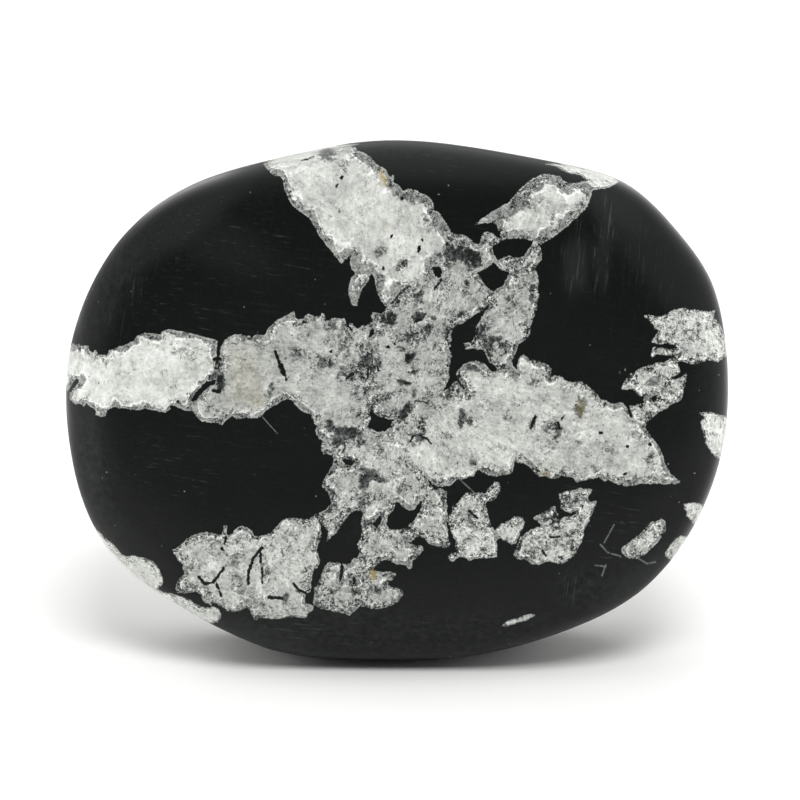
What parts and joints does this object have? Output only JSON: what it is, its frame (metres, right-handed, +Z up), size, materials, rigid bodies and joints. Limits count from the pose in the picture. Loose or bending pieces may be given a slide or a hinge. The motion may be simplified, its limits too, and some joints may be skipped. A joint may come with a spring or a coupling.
{
  "type": "chrysanthemum stone",
  "caption": "Rounded slab of black limestone, ground smooth and standing on a small flat on its rim, with a flower of pale radiating crystals flush in its face",
  "frame": {"origin": "Middle of the bounding box, at the level of the flat foot that the stone stands on", "axes": "+X to the right as the face is seen, along the longest side; -Y out of the crystal face, across the thickness; +Z up. The face leans back by 10 degrees"},
  "size_m": [0.1194, 0.0506, 0.0936],
  "materials": {
    "stone": "black limestone with pale crystals, ground and satin polished"
  },
  "bodies": {
    "root": {"stone": "stone"}
  },
  "joints": []
}
